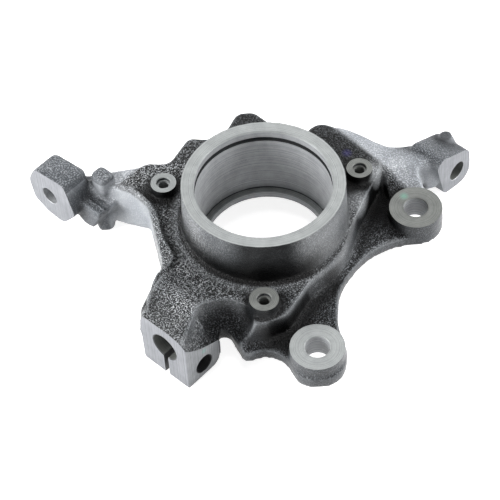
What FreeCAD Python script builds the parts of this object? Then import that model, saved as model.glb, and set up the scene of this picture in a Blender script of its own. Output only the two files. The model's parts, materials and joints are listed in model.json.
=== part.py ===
import FreeCAD, Part
import math
import os

# Cast steering knuckle, one piece, in millimetres.
# The origin is on the hub axis at the machined rim; +Z points out of the hub towards the wheel.
# Heights are written as z values, so nearly all of them are negative.

V = FreeCAD.Vector

# Hub: the bearing bore and the barrel round it
bore_r = 42.0
rim_r = 50.0
barrel_foot_r = 53.0
hub_bottom = -57.5
bore_floor = -52.5
lip_r = 38.2
ring_groove_top = -5.0
ring_groove_bottom = -8.4
ring_groove_r = 44.2
relief_depth = 0.5
relief_height = 0.9
rim_edge = -5.0
cove = 3.0
rim_chamfer = 0.8

# Levels of the casting
deck_z = -33.0
back_lug_y = 91.0
web_top = -49.5
web_bottom = hub_bottom
edge_ease = 1.2
pocket_lean = 4.0
pocket_foot = 3.0

# Cutters and sweeps run past the metal: over is just past it, through is right through
over = 1.0
through = 60.0

# Shield bosses: three on one circle, not evenly spaced
boss_angles = [26.2, 155.4, 266.5]
boss_pitch_r = 67.9
boss_top = -26.1
boss_radii = [8.2, 8.2, 9.0]
boss_foot = 1.0
boss_mouth_r = 4.3
boss_mouth_depth = 2.2
boss_thread_r = 3.2
boss_thread_depth = 16.0

# Caliper ears
right_ear_x = 94.2
right_ear_y = 7.6
front_ear_x = 25.3
front_ear_y = -94.3
ear_top = -41.0
ear_r = 16.6
ear_foot_r = 17.2
ear_hole_r = 7.5

# The slanted frame of the links: down is the way the ball joint leaves, across is square to it
down = V(-1, -1, 0).normalize()
across = V(1, -1, 0).normalize()
up = V(0, 0, 1)

# Ball joint clamp
clamp_face = 106.1
clamp_left = -4.5
clamp_right = 32.5
clamp_top = -27.2
clamp_bottom = -70.0
clamp_depth = 27.6
stud_across = 14.7
stud_z = -44.0
stud_r = 9.25
stud_depth = 20.0
stud_point = 3.0
slot_width = 3.5
pinch_back = 13.9
pinch_z = -59.3
pinch_r = 6.5
pinch_thread_r = 5.4
pinch_runout = 0.2
ramp_back = 52.0
ramp_start = 66.0
ramp_crest = 80.0
ramp_foot_z = -48.0
ramp_draft = 4.0
rib_left = 2.0
rib_width = 22.0
rib_bottom = -66.0

# Scooped hollow between clamp and lower shield boss
bowl_x = -28.4
bowl_y = -77.8
bowl_r = 17.4
bowl_veer = 0.5
bowl_rise = 0.24
bowl_draw = 42.0

# Steering arm end
end_round = 2.4
tie_face = 67.0
tie_across = -124.6
tie_z = -46.0
tie_hole_r = 6.2
tie_length = 20.0

# Top of the flank between strut arm and right ear
saddle_top = -35.5

# Lugs of the steering arm, placed by across and down
pad_left = -107.0
pad_right = -94.0
pad_back = 36.0
pad_front = 48.0
pad_top = -28.8
pad_ease = 1.6
stop_left = -108.4
stop_right = -86.3
stop_front = 59.6
stop_length = 20.0
stop_slant = 8.7
stop_top = -43.9
stop_bottom = -62.3
stop_ribs = [50.8, 54.5, 58.2]
rib_half = 1.7
rib_high = 1.5
rib_end = 0.7
stub_x = -101.4
stub_y = 33.4
stub_r = 5.8
stub_bottom = -69.0

# Strut arm end
strut_face = 54.7
strut_up = 123.0
strut_z = -56.0
strut_hole_r = 6.8
strut_length = 25.0
knob_r = 6.8
knob_top_r = 3.8
knob_top = -36.3
knob_height = 7.5
knob_across = 40.0
knob_up = 128.7


def flat(z):
    """Places plan points at height z."""
    return lambda x, y: V(x, y, z)


def upright(u_axis, normal, distance):
    """Places (along, height) points on the upright plane that lies distance out along normal."""
    return lambda a, z: u_axis * a + normal * distance + up * z


def ring(points, place):
    """Closed wire through corners (x, y, radius); a corner with a radius becomes an arc."""
    starts = []
    ends = []
    middles = []
    count = len(points)
    for i in range(count):
        x, y, r = points[i]
        here = V(x, y, 0)
        back = V(points[i - 1][0], points[i - 1][1], 0) - here
        ahead = V(points[(i + 1) % count][0], points[(i + 1) % count][1], 0) - here
        back.normalize()
        ahead.normalize()
        half = back.getAngle(ahead) / 2
        if r == 0:
            starts.append(here)
            ends.append(here)
            middles.append(None)
            continue
        reach = r / math.tan(half)
        bisector = (back + ahead).normalize()
        centre = here + bisector * (r / math.sin(half))
        starts.append(here + back * reach)
        ends.append(here + ahead * reach)
        middles.append(centre - bisector * r)
    edges = []
    for i in range(count):
        s = place(starts[i].x, starts[i].y)
        e = place(ends[i].x, ends[i].y)
        if middles[i] is not None:
            m = place(middles[i].x, middles[i].y)
            edges.append(Part.Arc(s, m, e).toShape())
        following = starts[(i + 1) % count]
        n = place(following.x, following.y)
        if (n - e).Length > 1e-6:
            edges.append(Part.LineSegment(e, n).toShape())
    return Part.Wire(edges)


def slab(points, z_low, z_high):
    """Upright prism on a plan outline."""
    return Part.Face(ring(points, flat(z_low))).extrude(V(0, 0, z_high - z_low))


def pad(points, place, direction, length):
    """Prism on an outline set on any plane."""
    return Part.Face(ring(points, place)).extrude(direction * length)


def cylinder(x, y, z_low, z_high, r):
    return Part.makeCylinder(r, z_high - z_low, V(x, y, z_low))


def around(radius, degrees):
    return (radius * math.cos(math.radians(degrees)), radius * math.sin(math.radians(degrees)))


def shifted(points, dx, dy):
    """The corners moved, so that an outline given from a centre follows that centre."""
    return [(x + dx, y + dy, r) for x, y, r in points]


boss_centres = [around(boss_pitch_r, a) for a in boss_angles]
ear_centres = [(right_ear_x, right_ear_y), (front_ear_x, front_ear_y)]


def hub_barrel():
    """Barrel of the hub, turned about the axis, with a slight casting draft."""
    profile = [
        V(0, 0, 0),
        V(rim_r, 0, 0),
        V(rim_r, 0, rim_edge),
        V(barrel_foot_r, 0, web_bottom),
        V(0, 0, web_bottom),
    ]
    edges = [Part.LineSegment(profile[i - 1], profile[i]).toShape() for i in range(len(profile))]
    return Part.Face(Part.Wire(edges)).revolve(V(0, 0, 0), up, 360)


def barrel_cove():
    """Sloped corner where the barrel stands on the deck."""
    drop = (barrel_foot_r - rim_r) * (rim_edge - deck_z) / (rim_edge - web_bottom)
    foot = rim_r + drop
    profile = [
        V(0, 0, deck_z + cove),
        V(foot - 0.3, 0, deck_z + cove),
        V(foot + cove, 0, deck_z),
        V(foot + cove, 0, deck_z - 1.0),
        V(0, 0, deck_z - 1.0),
    ]
    edges = [Part.LineSegment(profile[i - 1], profile[i]).toShape() for i in range(len(profile))]
    return Part.Face(Part.Wire(edges)).revolve(V(0, 0, 0), up, 360)


def bore_tool():
    """Everything turned out of the hub: bore, ring groove, tool relief, lip opening, chamfers."""
    profile = [
        V(0, 0, over),
        V(bore_r + rim_chamfer + over, 0, over),
        V(bore_r, 0, -rim_chamfer),
        V(bore_r, 0, ring_groove_top),
        V(ring_groove_r, 0, ring_groove_top),
        V(ring_groove_r, 0, ring_groove_bottom),
        V(bore_r, 0, ring_groove_bottom),
        V(bore_r, 0, bore_floor + relief_height),
        V(bore_r + relief_depth, 0, bore_floor + relief_height),
        V(bore_r + relief_depth, 0, bore_floor),
        V(lip_r, 0, bore_floor),
        V(lip_r, 0, web_bottom - over),
        V(0, 0, web_bottom - over),
    ]
    edges = [Part.LineSegment(profile[i - 1], profile[i]).toShape() for i in range(len(profile))]
    return Part.Face(Part.Wire(edges)).revolve(V(0, 0, 0), up, 360)


# The plan outline of the casting at the deck, without the arms; corners are (x, y, radius)
round_front_ear = [
    (-17.8, -0.7, 18),
    (-12.3, -17.2, 14),
    (12.7, -19.2, 16),
    (18.2, 0.3, 20),
]
round_right_ear = [
    (5.8, -16.6, 15),
    (18.8, -3.6, 15),
    (12.8, 22.4, 12),
]
plan = [
    (-52.0, -97.9, 0),
    (-32.5, -78.4, 0),
    (-32.3, -72.3, 0),
    (-26.3, -71.7, 5),
    (-18.0, -91.5, 5),
    (-3.0, -87.0, 14),
]
plan += shifted(round_front_ear, front_ear_x, front_ear_y)
plan += [
    (39.0, -72.0, 30),
    (42.0, -45.0, 42),
    (66.0, -11.0, 50),
]
plan += shifted(round_right_ear, right_ear_x, right_ear_y)
plan += [
    (80.0, 35.0, 8),
    (51.0, 72.0, 6),
    (39.0, 79.0, 10),
    (22.0, 63.0, 10),
    (11.0, 76.0, 6),
    (-2.0, back_lug_y, 9),
    (-13.5, back_lug_y - 0.5, 7),
    (-20.5, 77.0, 6),
    (-33.0, 69.5, 8),
    (-45.5, 72.0, 6),
    (-58.5, 50.5, 8),
    (-78.0, 53.0, 10),
    (-84.0, 30.5, 6),
    (-72.5, 17.0, 10),
    (-64.0, -30.0, 15),
    (-77.8, -63.0, 0),
    (-78.0, -72.0, 0),
]

# The pocket between deck and web: from the clamp, round bosses and barrel, to the strut arm
pocket = [
    (-24.0, -130.0, 0),
    (-24.0, -79.0, 12),
    (-4.0, -78.5, 9),
    (7.0, -74.0, 8),
    (23.0, -49.5, 8),
    (44.0, -32.0, 48),
    (54.0, -2.0, 8),
    (73.0, 35.0, 9),
    (76.0, 85.0, 0),
    (135.0, 85.0, 0),
    (135.0, -130.0, 0),
]


def inset(points, d):
    """The outline moved inwards by d, with each corner radius following."""
    count = len(points)
    area = sum(points[i - 1][0] * points[i][1] - points[i][0] * points[i - 1][1] for i in range(count))
    side = 1.0 if area > 0 else -1.0
    moved = []
    for i in range(count):
        x, y, r = points[i]
        ahead = V(points[(i + 1) % count][0] - x, points[(i + 1) % count][1] - y, 0).normalize()
        back = V(x - points[i - 1][0], y - points[i - 1][1], 0).normalize()
        normal_back = V(-back.y, back.x, 0) * side
        normal_ahead = V(-ahead.y, ahead.x, 0) * side
        step = (normal_back + normal_ahead) * (d / (1 + normal_back.dot(normal_ahead)))
        outward = side * back.cross(ahead).z > 0
        grown = r - d if outward else r + d
        moved.append((x + step.x, y + step.y, max(grown, 0.5) if r > 0 else 0))
    return moved


def tapered_pocket(points, floor, lean, foot):
    """Pocket cutter from above the deck to its floor; the walls lean in and end in a sloped foot."""
    mouth = deck_z + 12.0
    height = mouth - floor
    above_foot = inset(points, lean * (height - foot) / height)
    rings = [
        ring(points, flat(mouth)),
        ring(above_foot, flat(floor + foot)),
        ring(inset(above_foot, foot), flat(floor)),
    ]
    return Part.makeLoft(rings, True, True)


def bowl_cutter():
    """Scooped hollow beside the clamp: a ball end, drawn out to the front and slightly upwards."""
    middle = V(bowl_x, bowl_y, web_top + bowl_r)
    sky = up * (clamp_top + 5.0 - middle.z)
    ball = Part.makeSphere(bowl_r, middle)
    shaft = Part.makeCylinder(bowl_r, sky.z, middle, up)
    way = (down + across * bowl_veer + up * bowl_rise) * bowl_draw
    side = way.cross(up).normalize() * bowl_r
    half_round = Part.Arc(middle - side, middle - up * bowl_r, middle + side).toShape()
    outline = [
        half_round,
        Part.LineSegment(middle + side, middle + side + sky).toShape(),
        Part.LineSegment(middle + side + sky, middle - side + sky).toShape(),
        Part.LineSegment(middle - side + sky, middle - side).toShape(),
    ]
    trough = Part.Face(Part.Wire(outline)).extrude(way)
    return ball.fuse([shaft, trough]).removeSplitter()


def clamp():
    """Ball joint clamp: its front outline and its side outline, each swept and the two intersected."""
    front = [
        (clamp_left, clamp_bottom, 1.5),
        (clamp_left + 0.3, -33.5, 2),
        (clamp_left + 4.2, clamp_top, 2),
        (21.0, clamp_top, 25),
        (clamp_right, -32.2, 1.5),
        (clamp_right, clamp_bottom, 0.8),
    ]
    back = clamp_depth - clamp_face
    side = [
        (-clamp_face, clamp_bottom, 0.8),
        (back, clamp_bottom, 8),
        (back, clamp_top + over, 0),
        (-clamp_face, clamp_top + over, 0),
    ]
    ahead = pad(front, upright(across, down, clamp_face), -down, through)
    aside = pad(side, upright(-down, across, clamp_left - over), across, through)
    return ahead.common(aside)


def clamp_ramp():
    """Cast top of the clamp, rising from the deck to the front."""
    base = [
        (-50.9, -107.5, 0),
        (-82.9, -75.5, 0),
        (-74.5, -57.5, 10),
        (-70.5, -46.0, 10),
        (-61.0, -30.5, 4),
        (-50.0, -28.0, 4),
        (-22.0, -56.0, 4),
    ]
    side = [
        (-clamp_face + 0.5, web_top, 0),
        (-ramp_back, web_top, 0),
        (-ramp_back, deck_z - 0.5, 0),
        (-ramp_start, deck_z - 0.2, 12),
        (-ramp_crest, clamp_top, 12),
        (-clamp_face + 0.5, clamp_top + 0.1, 0),
    ]
    aside = pad(side, upright(-down, across, clamp_right - 2 * through), across, 2 * through)
    foot = ring(base, flat(ramp_foot_z))
    head = ring(inset(base, ramp_draft), flat(clamp_top + over))
    return Part.makeLoft([foot, head], True, True).common(aside)


def clamp_rib():
    """Rib under the web that carries the clamp."""
    root = clamp_depth - clamp_face - 4.0
    side = [
        (root, web_bottom + over, 0),
        (root, rib_bottom, 0),
        (-ramp_back, web_bottom, 0),
        (-ramp_back + over, web_bottom + over, 0),
    ]
    return pad(side, upright(-down, across, rib_left), across, rib_width)


def halfway(before, a, b, after):
    """Value halfway from a to b on the smooth curve that also passes before and after them."""
    return (a + b) / 2 + (a - before + b - after) / 16


def arm(sections, radii):
    """Arm through upright sections; each is x and its corners (y, z), and radii rounds the corners."""
    rows = [[x] + [value for corner in corners for value in corner] for x, corners in sections]
    wires = []
    for i in range(len(rows) - 1):
        wires.append(arm_ring(rows[i], radii))
        if i > 0:
            before = rows[i - 1]
            after = rows[min(i + 2, len(rows) - 1)]
            row = [halfway(p, a, b, n) for p, a, b, n in zip(before, rows[i], rows[i + 1], after)]
            wires.append(arm_ring(row, radii))
    wires.append(arm_ring(rows[-1], radii))
    return Part.makeLoft(wires, True, True)


def arm_ring(row, radii):
    x = row[0]
    corners = [(row[2 * k + 1], row[2 * k + 2], r) for k, r in enumerate(radii)]
    return ring(corners, lambda y, z: V(x, y, z))


# Corners of each section: front foot, front top, crest on the strut arm only, back top, back foot
steering_sections = [
    (-58.0, [(6.0, -57.5), (22.0, -33.5), (49.0, -33.5), (48.0, -57.5)]),
    (-72.0, [(14.0, -59.5), (23.5, -33.5), (52.0, -33.5), (50.0, -58.5)]),
    (-86.0, [(23.0, -64.0), (32.0, -33.5), (51.0, -34.0), (49.0, -62.0)]),
    (-98.0, [(30.0, -65.0), (36.0, -35.5), (51.0, -35.5), (49.0, -63.0)]),
    (-110.0, [(32.5, -62.0), (37.0, -38.5), (52.0, -38.5), (50.5, -60.0)]),
    (-121.0, [(36.0, -60.0), (40.0, -38.0), (55.0, -38.0), (54.0, -59.0)]),
]

strut_sections = [
    (36.0, [(44.0, -57.0), (45.0, -33.5), (68.0, -33.6), (75.0, -38.0), (73.0, -57.0)]),
    (52.0, [(40.0, -57.5), (42.0, -33.5), (69.0, -33.8), (78.5, -38.5), (74.0, -58.0)]),
    (67.0, [(35.0, -57.5), (38.0, -34.0), (53.0, -34.3), (71.5, -39.5), (67.0, -60.0)]),
    (82.0, [(32.0, -57.5), (37.5, -35.5), (48.0, -36.3), (61.0, -40.5), (59.0, -61.0)]),
    (97.0, [(31.0, -57.5), (37.0, -34.0), (48.0, -35.3), (59.5, -39.0), (57.5, -62.0)]),
    (111.0, [(35.5, -58.5), (37.0, -33.5), (48.0, -35.5), (61.0, -41.0), (61.0, -64.0)]),
]


def rounded_back(block, axis, level):
    """The block with the edges of its back face rounded, the face that is at level along axis."""
    edges = [e for e in block.Edges if all(abs(v.Point.dot(axis) - level) < 1e-4 for v in e.Vertexes)]
    return block.makeChamfer(end_round, edges)


def tie_end():
    """Barrel at the end of the steering arm, with its machined face."""
    outline = [
        (-12.0, 17.2, 7),
        (15.2, 20.2, 3.2),
        (22.5, -3.0, 5),
        (10.0, -18.8, 9),
        (-4.0, -17.8, 6),
        (-15.5, -12.5, 7),
        (-18.3, 3.5, 9),
    ]
    outline = shifted(outline, tie_across, tie_z)
    block = pad(outline, upright(across, down, tie_face), -down, tie_length)
    return rounded_back(block, down, tie_face - tie_length)


def strut_end():
    """Block at the end of the strut arm, with its machined face."""
    outline = [
        (-21.3, 18.8, 3.2),
        (-16.3, 24.0, 3.2),
        (12.0, 11.8, 10),
        (15.0, -17.0, 9),
        (-12.3, -11.8, 5),
    ]
    outline = shifted(outline, strut_up, strut_z)
    block = pad(outline, upright(-down, across, strut_face), -across, strut_length)
    return rounded_back(block, across, strut_face - strut_length)


def strut_knob():
    """Small blunt lump on top of the strut end."""
    middle = across * knob_across - down * knob_up
    corners = [around(1.0, 45.0 * k) for k in range(8)]
    low = [(middle.x + knob_r * x, middle.y + knob_r * y, 0) for x, y in corners]
    high = [(middle.x + knob_top_r * x, middle.y + knob_top_r * y, 0) for x, y in corners]
    return Part.makeLoft([ring(low, flat(knob_top - knob_height)), ring(high, flat(knob_top))], True, True)


def saddle():
    """Sloping flank that carries the strut arm's top down to the right caliper ear."""
    low = [(-14.2, 8.4, 0), (8.8, 8.4, 0), (6.8, 33.4, 0), (-22.2, 33.4, 0)]
    high = [(-17.2, 29.4, 0), (3.3, 29.4, 0), (3.3, 33.4, 0), (-19.2, 33.4, 0)]
    low = shifted(low, right_ear_x, right_ear_y)
    high = shifted(high, right_ear_x, right_ear_y)
    return Part.makeLoft([ring(low, flat(web_top)), ring(high, flat(saddle_top))], True, True)


def ear(centre):
    x, y = centre
    return Part.makeCone(ear_foot_r, ear_r, ear_top - web_bottom, V(x, y, web_bottom))


def ear_hole(centre):
    x, y = centre
    return cylinder(x, y, web_bottom - over, ear_top + over, ear_hole_r)


def boss(centre, r):
    x, y = centre
    return Part.makeCone(r + boss_foot, r, boss_top - web_top, V(x, y, web_top))


def boss_hole(centre):
    x, y = centre
    thread = cylinder(x, y, boss_top - boss_thread_depth, boss_top + over, boss_thread_r)
    mouth = cylinder(x, y, boss_top - boss_mouth_depth, boss_top + over, boss_mouth_r)
    return thread.fuse(mouth)


def round_along(centre, axis, r, start, length):
    """Round bar or hole along axis; start is counted from the point centre."""
    return Part.makeCylinder(r, length, centre + axis * start, axis)


def clamp_holes():
    stud_mouth = across * stud_across + down * clamp_face + up * stud_z
    stud = round_along(stud_mouth, -down, stud_r, -over, stud_depth + over)
    point = Part.makeCone(stud_r, stud_r / 2, stud_point, stud_mouth - down * stud_depth, -down)
    slot_points = [
        (stud_across - slot_width / 2, clamp_bottom - over, 0),
        (stud_across + slot_width / 2, clamp_bottom - over, 0),
        (stud_across + slot_width / 2, stud_z, 0),
        (stud_across - slot_width / 2, stud_z, 0),
    ]
    slot = pad(slot_points, upright(across, down, clamp_face + over), -down, clamp_depth + 3 * over)
    pinch_mouth = across * clamp_right + down * (clamp_face - pinch_back) + up * pinch_z
    near = round_along(pinch_mouth, -across, pinch_r, -over, clamp_right - stud_across + over)
    far = round_along(pinch_mouth, -across, pinch_thread_r, 0.0, clamp_right - clamp_left + pinch_runout)
    return [stud, point, slot, near, far]


def arm_holes():
    tie = across * tie_across + down * tie_face + up * tie_z
    strut = across * strut_face - down * strut_up + up * strut_z
    return [
        round_along(tie, -down, tie_hole_r, -over, tie_length + 2 * over),
        round_along(strut, -across, strut_hole_r, -over, strut_length + 2 * over),
    ]


def lugs():
    """Cast lugs of the steering arm: the upper pad, the ribbed steering stop and the stub below."""
    pad_points = [
        (pad_left, -pad_front, 5),
        (pad_right, -pad_front, 3),
        (pad_right, -pad_back, 3),
        (pad_left, -pad_back, 3),
    ]
    upper = pad(pad_points, lambda a, b: across * a - down * b + up * web_top, up, pad_top - web_top)
    stop_points = [
        (stop_left, stop_bottom, 6),
        (stop_right - stop_slant, stop_bottom, 6),
        (stop_right, stop_top, 2),
        (stop_left, stop_top, 2),
    ]
    stop = pad(stop_points, upright(across, down, stop_front), -down, stop_length)
    stub = cylinder(stub_x, stub_y, stub_bottom, web_bottom + 2.0, stub_r)
    ribs = []
    for level in stop_ribs:
        ridge = [
            (-level - rib_half, stop_top, 0),
            (-level, stop_top + rib_high, 0),
            (-level + rib_half, stop_top, 0),
        ]
        place = upright(-down, across, stop_left + rib_end)
        ribs.append(pad(ridge, place, across, stop_right - stop_left - 2 * rib_end))
    return [eased(upper, pad_top, pad_ease), stop, stub] + ribs


def eased(solid, level, size):
    """The solid with the edges that lie flat at one level chamfered."""
    flat_edges = [e for e in solid.Edges if e.BoundBox.ZMax - e.BoundBox.ZMin < 1e-4]
    return solid.makeChamfer(size, [e for e in flat_edges if abs(e.BoundBox.ZMax - level) < 1e-4])


def build():
    tool = tapered_pocket(pocket, web_top, pocket_lean, pocket_foot)
    body = eased(slab(plan, web_bottom, deck_z), deck_z, edge_ease)
    body = body.fuse([clamp(), clamp_ramp(), barrel_cove()])
    body = body.cut([tool, bowl_cutter()])
    solids = [hub_barrel(), clamp_rib(), saddle()]
    solids += [arm(steering_sections, [5, 5, 5, 5]), tie_end()]
    solids += [arm(strut_sections, [6, 6, 0, 6, 6]), strut_end(), strut_knob()]
    solids += [ear(c) for c in ear_centres]
    solids += [boss(c, r) for c, r in zip(boss_centres, boss_radii)]
    solids += lugs()
    body = body.fuse(solids)
    cuts = [bore_tool()] + clamp_holes() + arm_holes()
    cuts += [ear_hole(c) for c in ear_centres]
    cuts += [boss_hole(c) for c in boss_centres]
    body = body.cut(cuts)
    return body.removeSplitter()


knuckle = build()
print("solids", len(knuckle.Solids), "valid", knuckle.isValid(), "volume", round(knuckle.Volume / 1000, 1))
os.makedirs("parts", exist_ok=True)
knuckle.exportStep("parts/knuckle.step")
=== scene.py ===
# %% [markdown]
# # A sand-cast steering knuckle
#
# The knuckle carries the wheel bearing in its barrel and joins it to the steering and the suspension.
# A foundry pours it in iron, so most of its skin is rough, and a machine shop then cuts only the faces
# and holes that other parts touch. This lesson follows the same order: cast first, then cut.

import bpy
import bmesh
import json
import math
from mathutils import Matrix, Vector
from mathutils.bvhtree import BVHTree
from mathutils.geometry import intersect_point_line

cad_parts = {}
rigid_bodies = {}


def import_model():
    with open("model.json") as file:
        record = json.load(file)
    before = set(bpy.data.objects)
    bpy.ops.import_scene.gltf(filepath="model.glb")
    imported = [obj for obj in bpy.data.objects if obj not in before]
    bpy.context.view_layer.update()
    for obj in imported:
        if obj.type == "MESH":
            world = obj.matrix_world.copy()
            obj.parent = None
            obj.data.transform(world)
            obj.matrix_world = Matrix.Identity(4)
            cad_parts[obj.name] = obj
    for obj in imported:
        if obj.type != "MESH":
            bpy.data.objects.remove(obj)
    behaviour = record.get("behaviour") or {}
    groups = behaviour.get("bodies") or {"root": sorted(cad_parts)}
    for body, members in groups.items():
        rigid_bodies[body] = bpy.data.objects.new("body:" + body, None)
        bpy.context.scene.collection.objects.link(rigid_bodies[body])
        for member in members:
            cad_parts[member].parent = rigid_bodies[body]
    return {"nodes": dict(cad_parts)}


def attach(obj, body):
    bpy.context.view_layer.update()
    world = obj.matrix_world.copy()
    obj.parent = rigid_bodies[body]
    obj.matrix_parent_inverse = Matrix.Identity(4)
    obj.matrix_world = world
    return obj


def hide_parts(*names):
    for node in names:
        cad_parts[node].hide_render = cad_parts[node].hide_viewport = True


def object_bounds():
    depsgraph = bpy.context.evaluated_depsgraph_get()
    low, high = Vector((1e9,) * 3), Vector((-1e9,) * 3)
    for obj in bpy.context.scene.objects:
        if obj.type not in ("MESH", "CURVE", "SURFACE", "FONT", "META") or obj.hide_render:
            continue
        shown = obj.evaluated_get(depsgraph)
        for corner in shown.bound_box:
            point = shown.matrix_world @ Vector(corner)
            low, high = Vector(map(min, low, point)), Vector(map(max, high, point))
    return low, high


for thing in list(bpy.data.objects):
    bpy.data.objects.remove(thing)
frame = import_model()
cad_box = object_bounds()
scene = bpy.context.scene
scene.view_settings.view_transform = "Standard"
MM = 0.001
print("CAD box in mm:", [[round(v / MM, 1) for v in corner] for corner in cad_box])

# %% [markdown]
# ## Camera
#
# The photograph looks down on the knuckle from the front, with a long lens and a slight roll. Six numbers
# were fitted to the round rim and the round bosses: height angle, roll, distance, lens and two offsets.

# %% Camera at the photograph's viewing angle
ELEVATION = math.radians(51.0)
ROLL = math.radians(-3.71)
DISTANCE = 1084.24 * MM
SENSOR_MM = 36.0
LENS_TO_SENSOR = 3.6
SIDE_STEP = -7.94 * MM
RISE_STEP = -40.45 * MM


def photo_camera():
    ahead = Vector((0, math.cos(ELEVATION), -math.sin(ELEVATION)))
    level = Vector((1, 0, 0))
    upright = level.cross(ahead)
    right = math.cos(ROLL) * level + math.sin(ROLL) * upright
    top = math.cos(ROLL) * upright - math.sin(ROLL) * level
    place = -ahead * DISTANCE + right * SIDE_STEP + top * RISE_STEP
    data = bpy.data.cameras.new("photo_camera")
    data.sensor_width = SENSOR_MM
    data.lens = LENS_TO_SENSOR * SENSOR_MM
    data.clip_start = 0.01
    camera = bpy.data.objects.new("photo_camera", data)
    camera.matrix_world = Matrix((right, top, -ahead)).transposed().to_4x4()
    camera.matrix_world.translation = place
    scene.collection.objects.link(camera)
    return camera


scene.camera = photo_camera()
print("camera at", [round(v, 3) for v in scene.camera.matrix_world.translation])

# %% [markdown]
# ## Sizes of the cuts
#
# Blender has to know where the machine shop cut, so the positions of the holes and the faces are repeated
# here in millimetres. Two slanted directions carry the clamp and both arm ends: ACROSS and DOWN, each at 45
# degrees to the X and Y axes.

# %% Directions and positions
UP = Vector((0, 0, 1))
EAST = Vector((1, 0, 0))
WEST = -EAST
BACK = Vector((0, 1, 0))
ACROSS = Vector((1, -1, 0)).normalized()
DOWN = Vector((-1, -1, 0)).normalized()


def at(across, down, height):
    """Point in millimetres from its three coordinates along ACROSS, DOWN and UP."""
    return ACROSS * across + DOWN * down + UP * height


def heading(degrees):
    """Direction in plan, turned from east."""
    return Vector((math.cos(math.radians(degrees)), math.sin(math.radians(degrees)), 0))


EARS = [Vector((94.2, 7.6, 0)), Vector((25.3, -94.3, 0))]
BOSS_PITCH = 67.9
BOSS_HEADINGS = (26.2, 155.4, 266.5)
BOSSES = [heading(degrees) * BOSS_PITCH for degrees in BOSS_HEADINGS]
EAR_TOP = -41.0
BOSS_TOP = -26.1
HUB_BOTTOM = -57.5
EAR_FOOT = HUB_BOTTOM
CLAMP_FACE = 106.1
CLAMP_SIDE = 32.5
TIE_FACE = 67.0
STRUT_FACE = 54.7
TIE_HOLE = at(-124.6, TIE_FACE, -46.0)
STRUT_HOLE = at(STRUT_FACE, -123.0, -56.0)
STUD_HOLE = at(14.7, CLAMP_FACE, -44.0)
PINCH_HOLE = at(CLAMP_SIDE, CLAMP_FACE - 13.9, -59.3)
print("boss centres in mm:", [tuple(round(v, 1) for v in b) for b in BOSSES])

# %% [markdown]
# ## Colours and nodes
#
# Colours are written as the hex values that a colour picker shows. Blender computes with linear light, so
# one function converts them. A second small function adds a shader node, with its settings and its links.


# %% Colour and node helpers
def linear(code):
    """A hex colour as linear red, green, blue and alpha."""
    parts = [int(code[i:i + 2], 16) / 255 for i in (1, 3, 5)]
    return tuple(c / 12.92 if c <= 0.04045 else ((c + 0.055) / 1.055) ** 2.4 for c in parts) + (1.0,)


def node(tree, kind, inputs=None, **settings):
    """Adds a node. Its inputs take a link where they are given a socket, and a value otherwise; a setting is
    a property of the node or, where the node has none of that name, the value of an input."""
    made = tree.nodes.new(kind)
    for name, value in settings.items():
        if hasattr(made, name):
            setattr(made, name, value)
        else:
            made.inputs[name.replace("_", " ")].default_value = value
    for name, given in (inputs or {}).items():
        if isinstance(given, bpy.types.NodeSocket):
            tree.links.new(given, made.inputs[name])
        else:
            made.inputs[name].default_value = given
    return made


def new_material(name):
    material = bpy.data.materials.new(name)
    material.use_nodes = True
    tree = material.node_tree
    tree.nodes.clear()
    return material, tree


print("charcoal in linear light:", [round(v, 4) for v in linear("#2A2B2D")])

# %% [markdown]
# ## Masks and layers
#
# Painted shade, painted light, wear and shot blasting each cover an area of their own. A mask is a number
# that is 1 there and 0 elsewhere, worked out from where a point lies on the part: beyond planes, near an
# upright axis, or in a dab. The colour is then built as a painter would, in layers: each has a mask, and
# covers or darkens what is below.


# %% Masks by planes, axes and dabs, and layers of colour
def joined(tree, operation, *masks):
    """One mask or number from several, by the same operation."""
    whole = masks[0]
    for mask in masks[1:]:
        whole = node(tree, "ShaderNodeMath", {0: whole, 1: mask}, operation=operation).outputs[0]
    return whole


def beyond(tree, place, *planes):
    """Mask of what lies beyond all planes. Each plane is a direction, a distance from the hub's axis or top,
    and the width over which the mask rises from 0 to 1, in mm."""
    masks = []
    for direction, start, width in planes:
        along = node(tree, "ShaderNodeVectorMath", {0: place, 1: direction}, operation="DOT_PRODUCT")
        mask = node(tree, "ShaderNodeMapRange", {"Value": along.outputs["Value"]},
                    interpolation_type="SMOOTHSTEP", From_Min=(start - width / 2) * MM,
                    From_Max=(start + width / 2) * MM)
        masks.append(mask.outputs["Result"])
    return joined(tree, "MULTIPLY", *masks)


def inside(tree, place, radius, width, centre=Vector()):
    """Mask of what lies within radius of an upright axis; it falls from 1 to 0 over width, in mm."""
    plan = node(tree, "ShaderNodeVectorMath", {0: place, 1: (1, 1, 0), 2: -centre * MM},
                operation="MULTIPLY_ADD")
    out = node(tree, "ShaderNodeVectorMath", {0: plan.outputs[0]}, operation="LENGTH")
    return node(tree, "ShaderNodeMapRange", {"Value": out.outputs["Value"]},
                From_Min=(radius - width / 2) * MM, From_Max=(radius + width / 2) * MM, To_Min=1.0,
                To_Max=0.0).outputs["Result"]


def layered(tree, tone, layers):
    """Lays layers on a tone. Each is a mask, a colour, and MIX to cover or MULTIPLY to stain what is below.
    A tone and a colour are each a hex code or a socket."""
    for mask, colour, kind in layers:
        under, over = [linear(c) if isinstance(c, str) else c for c in (tone, colour)]
        tone = node(tree, "ShaderNodeMix", {0: mask, 6: under, 7: over}, data_type="RGBA",
                    blend_type=kind).outputs[2]
    return tone


DAB_CORE = 0.2


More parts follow.
